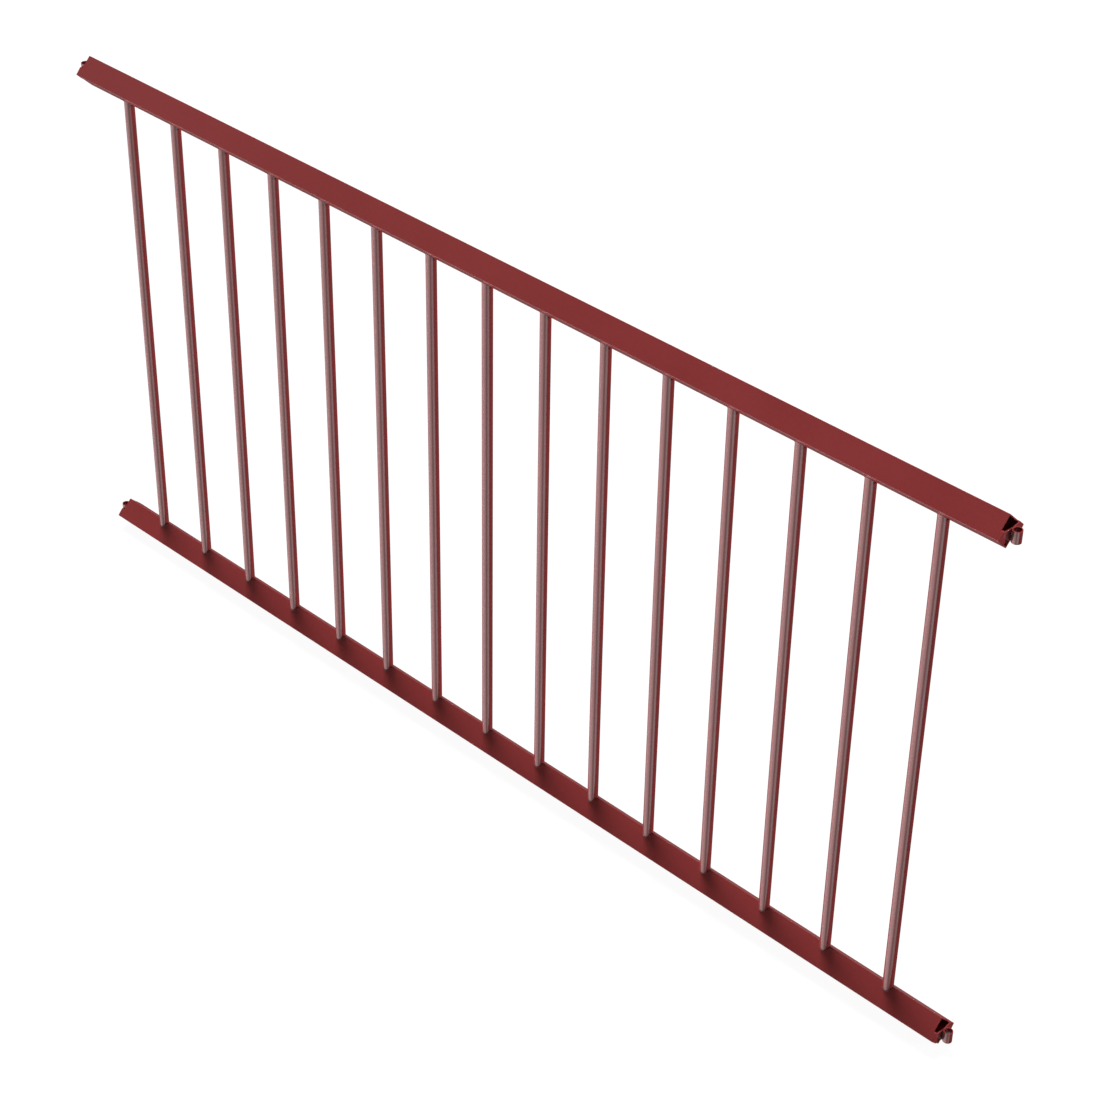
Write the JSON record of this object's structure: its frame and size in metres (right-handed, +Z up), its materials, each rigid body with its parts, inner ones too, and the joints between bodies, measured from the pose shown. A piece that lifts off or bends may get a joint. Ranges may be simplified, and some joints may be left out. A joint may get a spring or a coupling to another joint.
{
  "type": "barred steel fence panel",
  "caption": "Red painted steel fence panel: round upright bars between two square tube rails set on edge, with a strap and an upright pin eye at each rail end.",
  "frame": {"origin": "on the axis of the bottom left eye, level with that eye's lower face", "axes": "+X along the rails from the left end to the right end, -Y towards the front, +Z up"},
  "size_m": [2, 0.0558, 0.9933],
  "materials": {
    "red_paint": "satin dark red paint on steel"
  },
  "bodies": {
    "root": {"bottom_rail": "red_paint", "bottom_left_strap": "red_paint", "bottom_left_eye": "red_paint", "bottom_right_strap": "red_paint", "bottom_right_eye": "red_paint", "top_rail": "red_paint", "top_left_strap": "red_paint", "top_left_eye": "red_paint", "top_right_strap": "red_paint", "top_right_eye": "red_paint", "bar_01": "red_paint", "bar_02": "red_paint", "bar_03": "red_paint", "bar_04": "red_paint", "bar_05": "red_paint", "bar_06": "red_paint", "bar_07": "red_paint", "bar_08": "red_paint", "bar_09": "red_paint", "bar_10": "red_paint", "bar_11": "red_paint", "bar_12": "red_paint", "bar_13": "red_paint", "bar_14": "red_paint", "bar_15": "red_paint"}
  },
  "joints": []
}
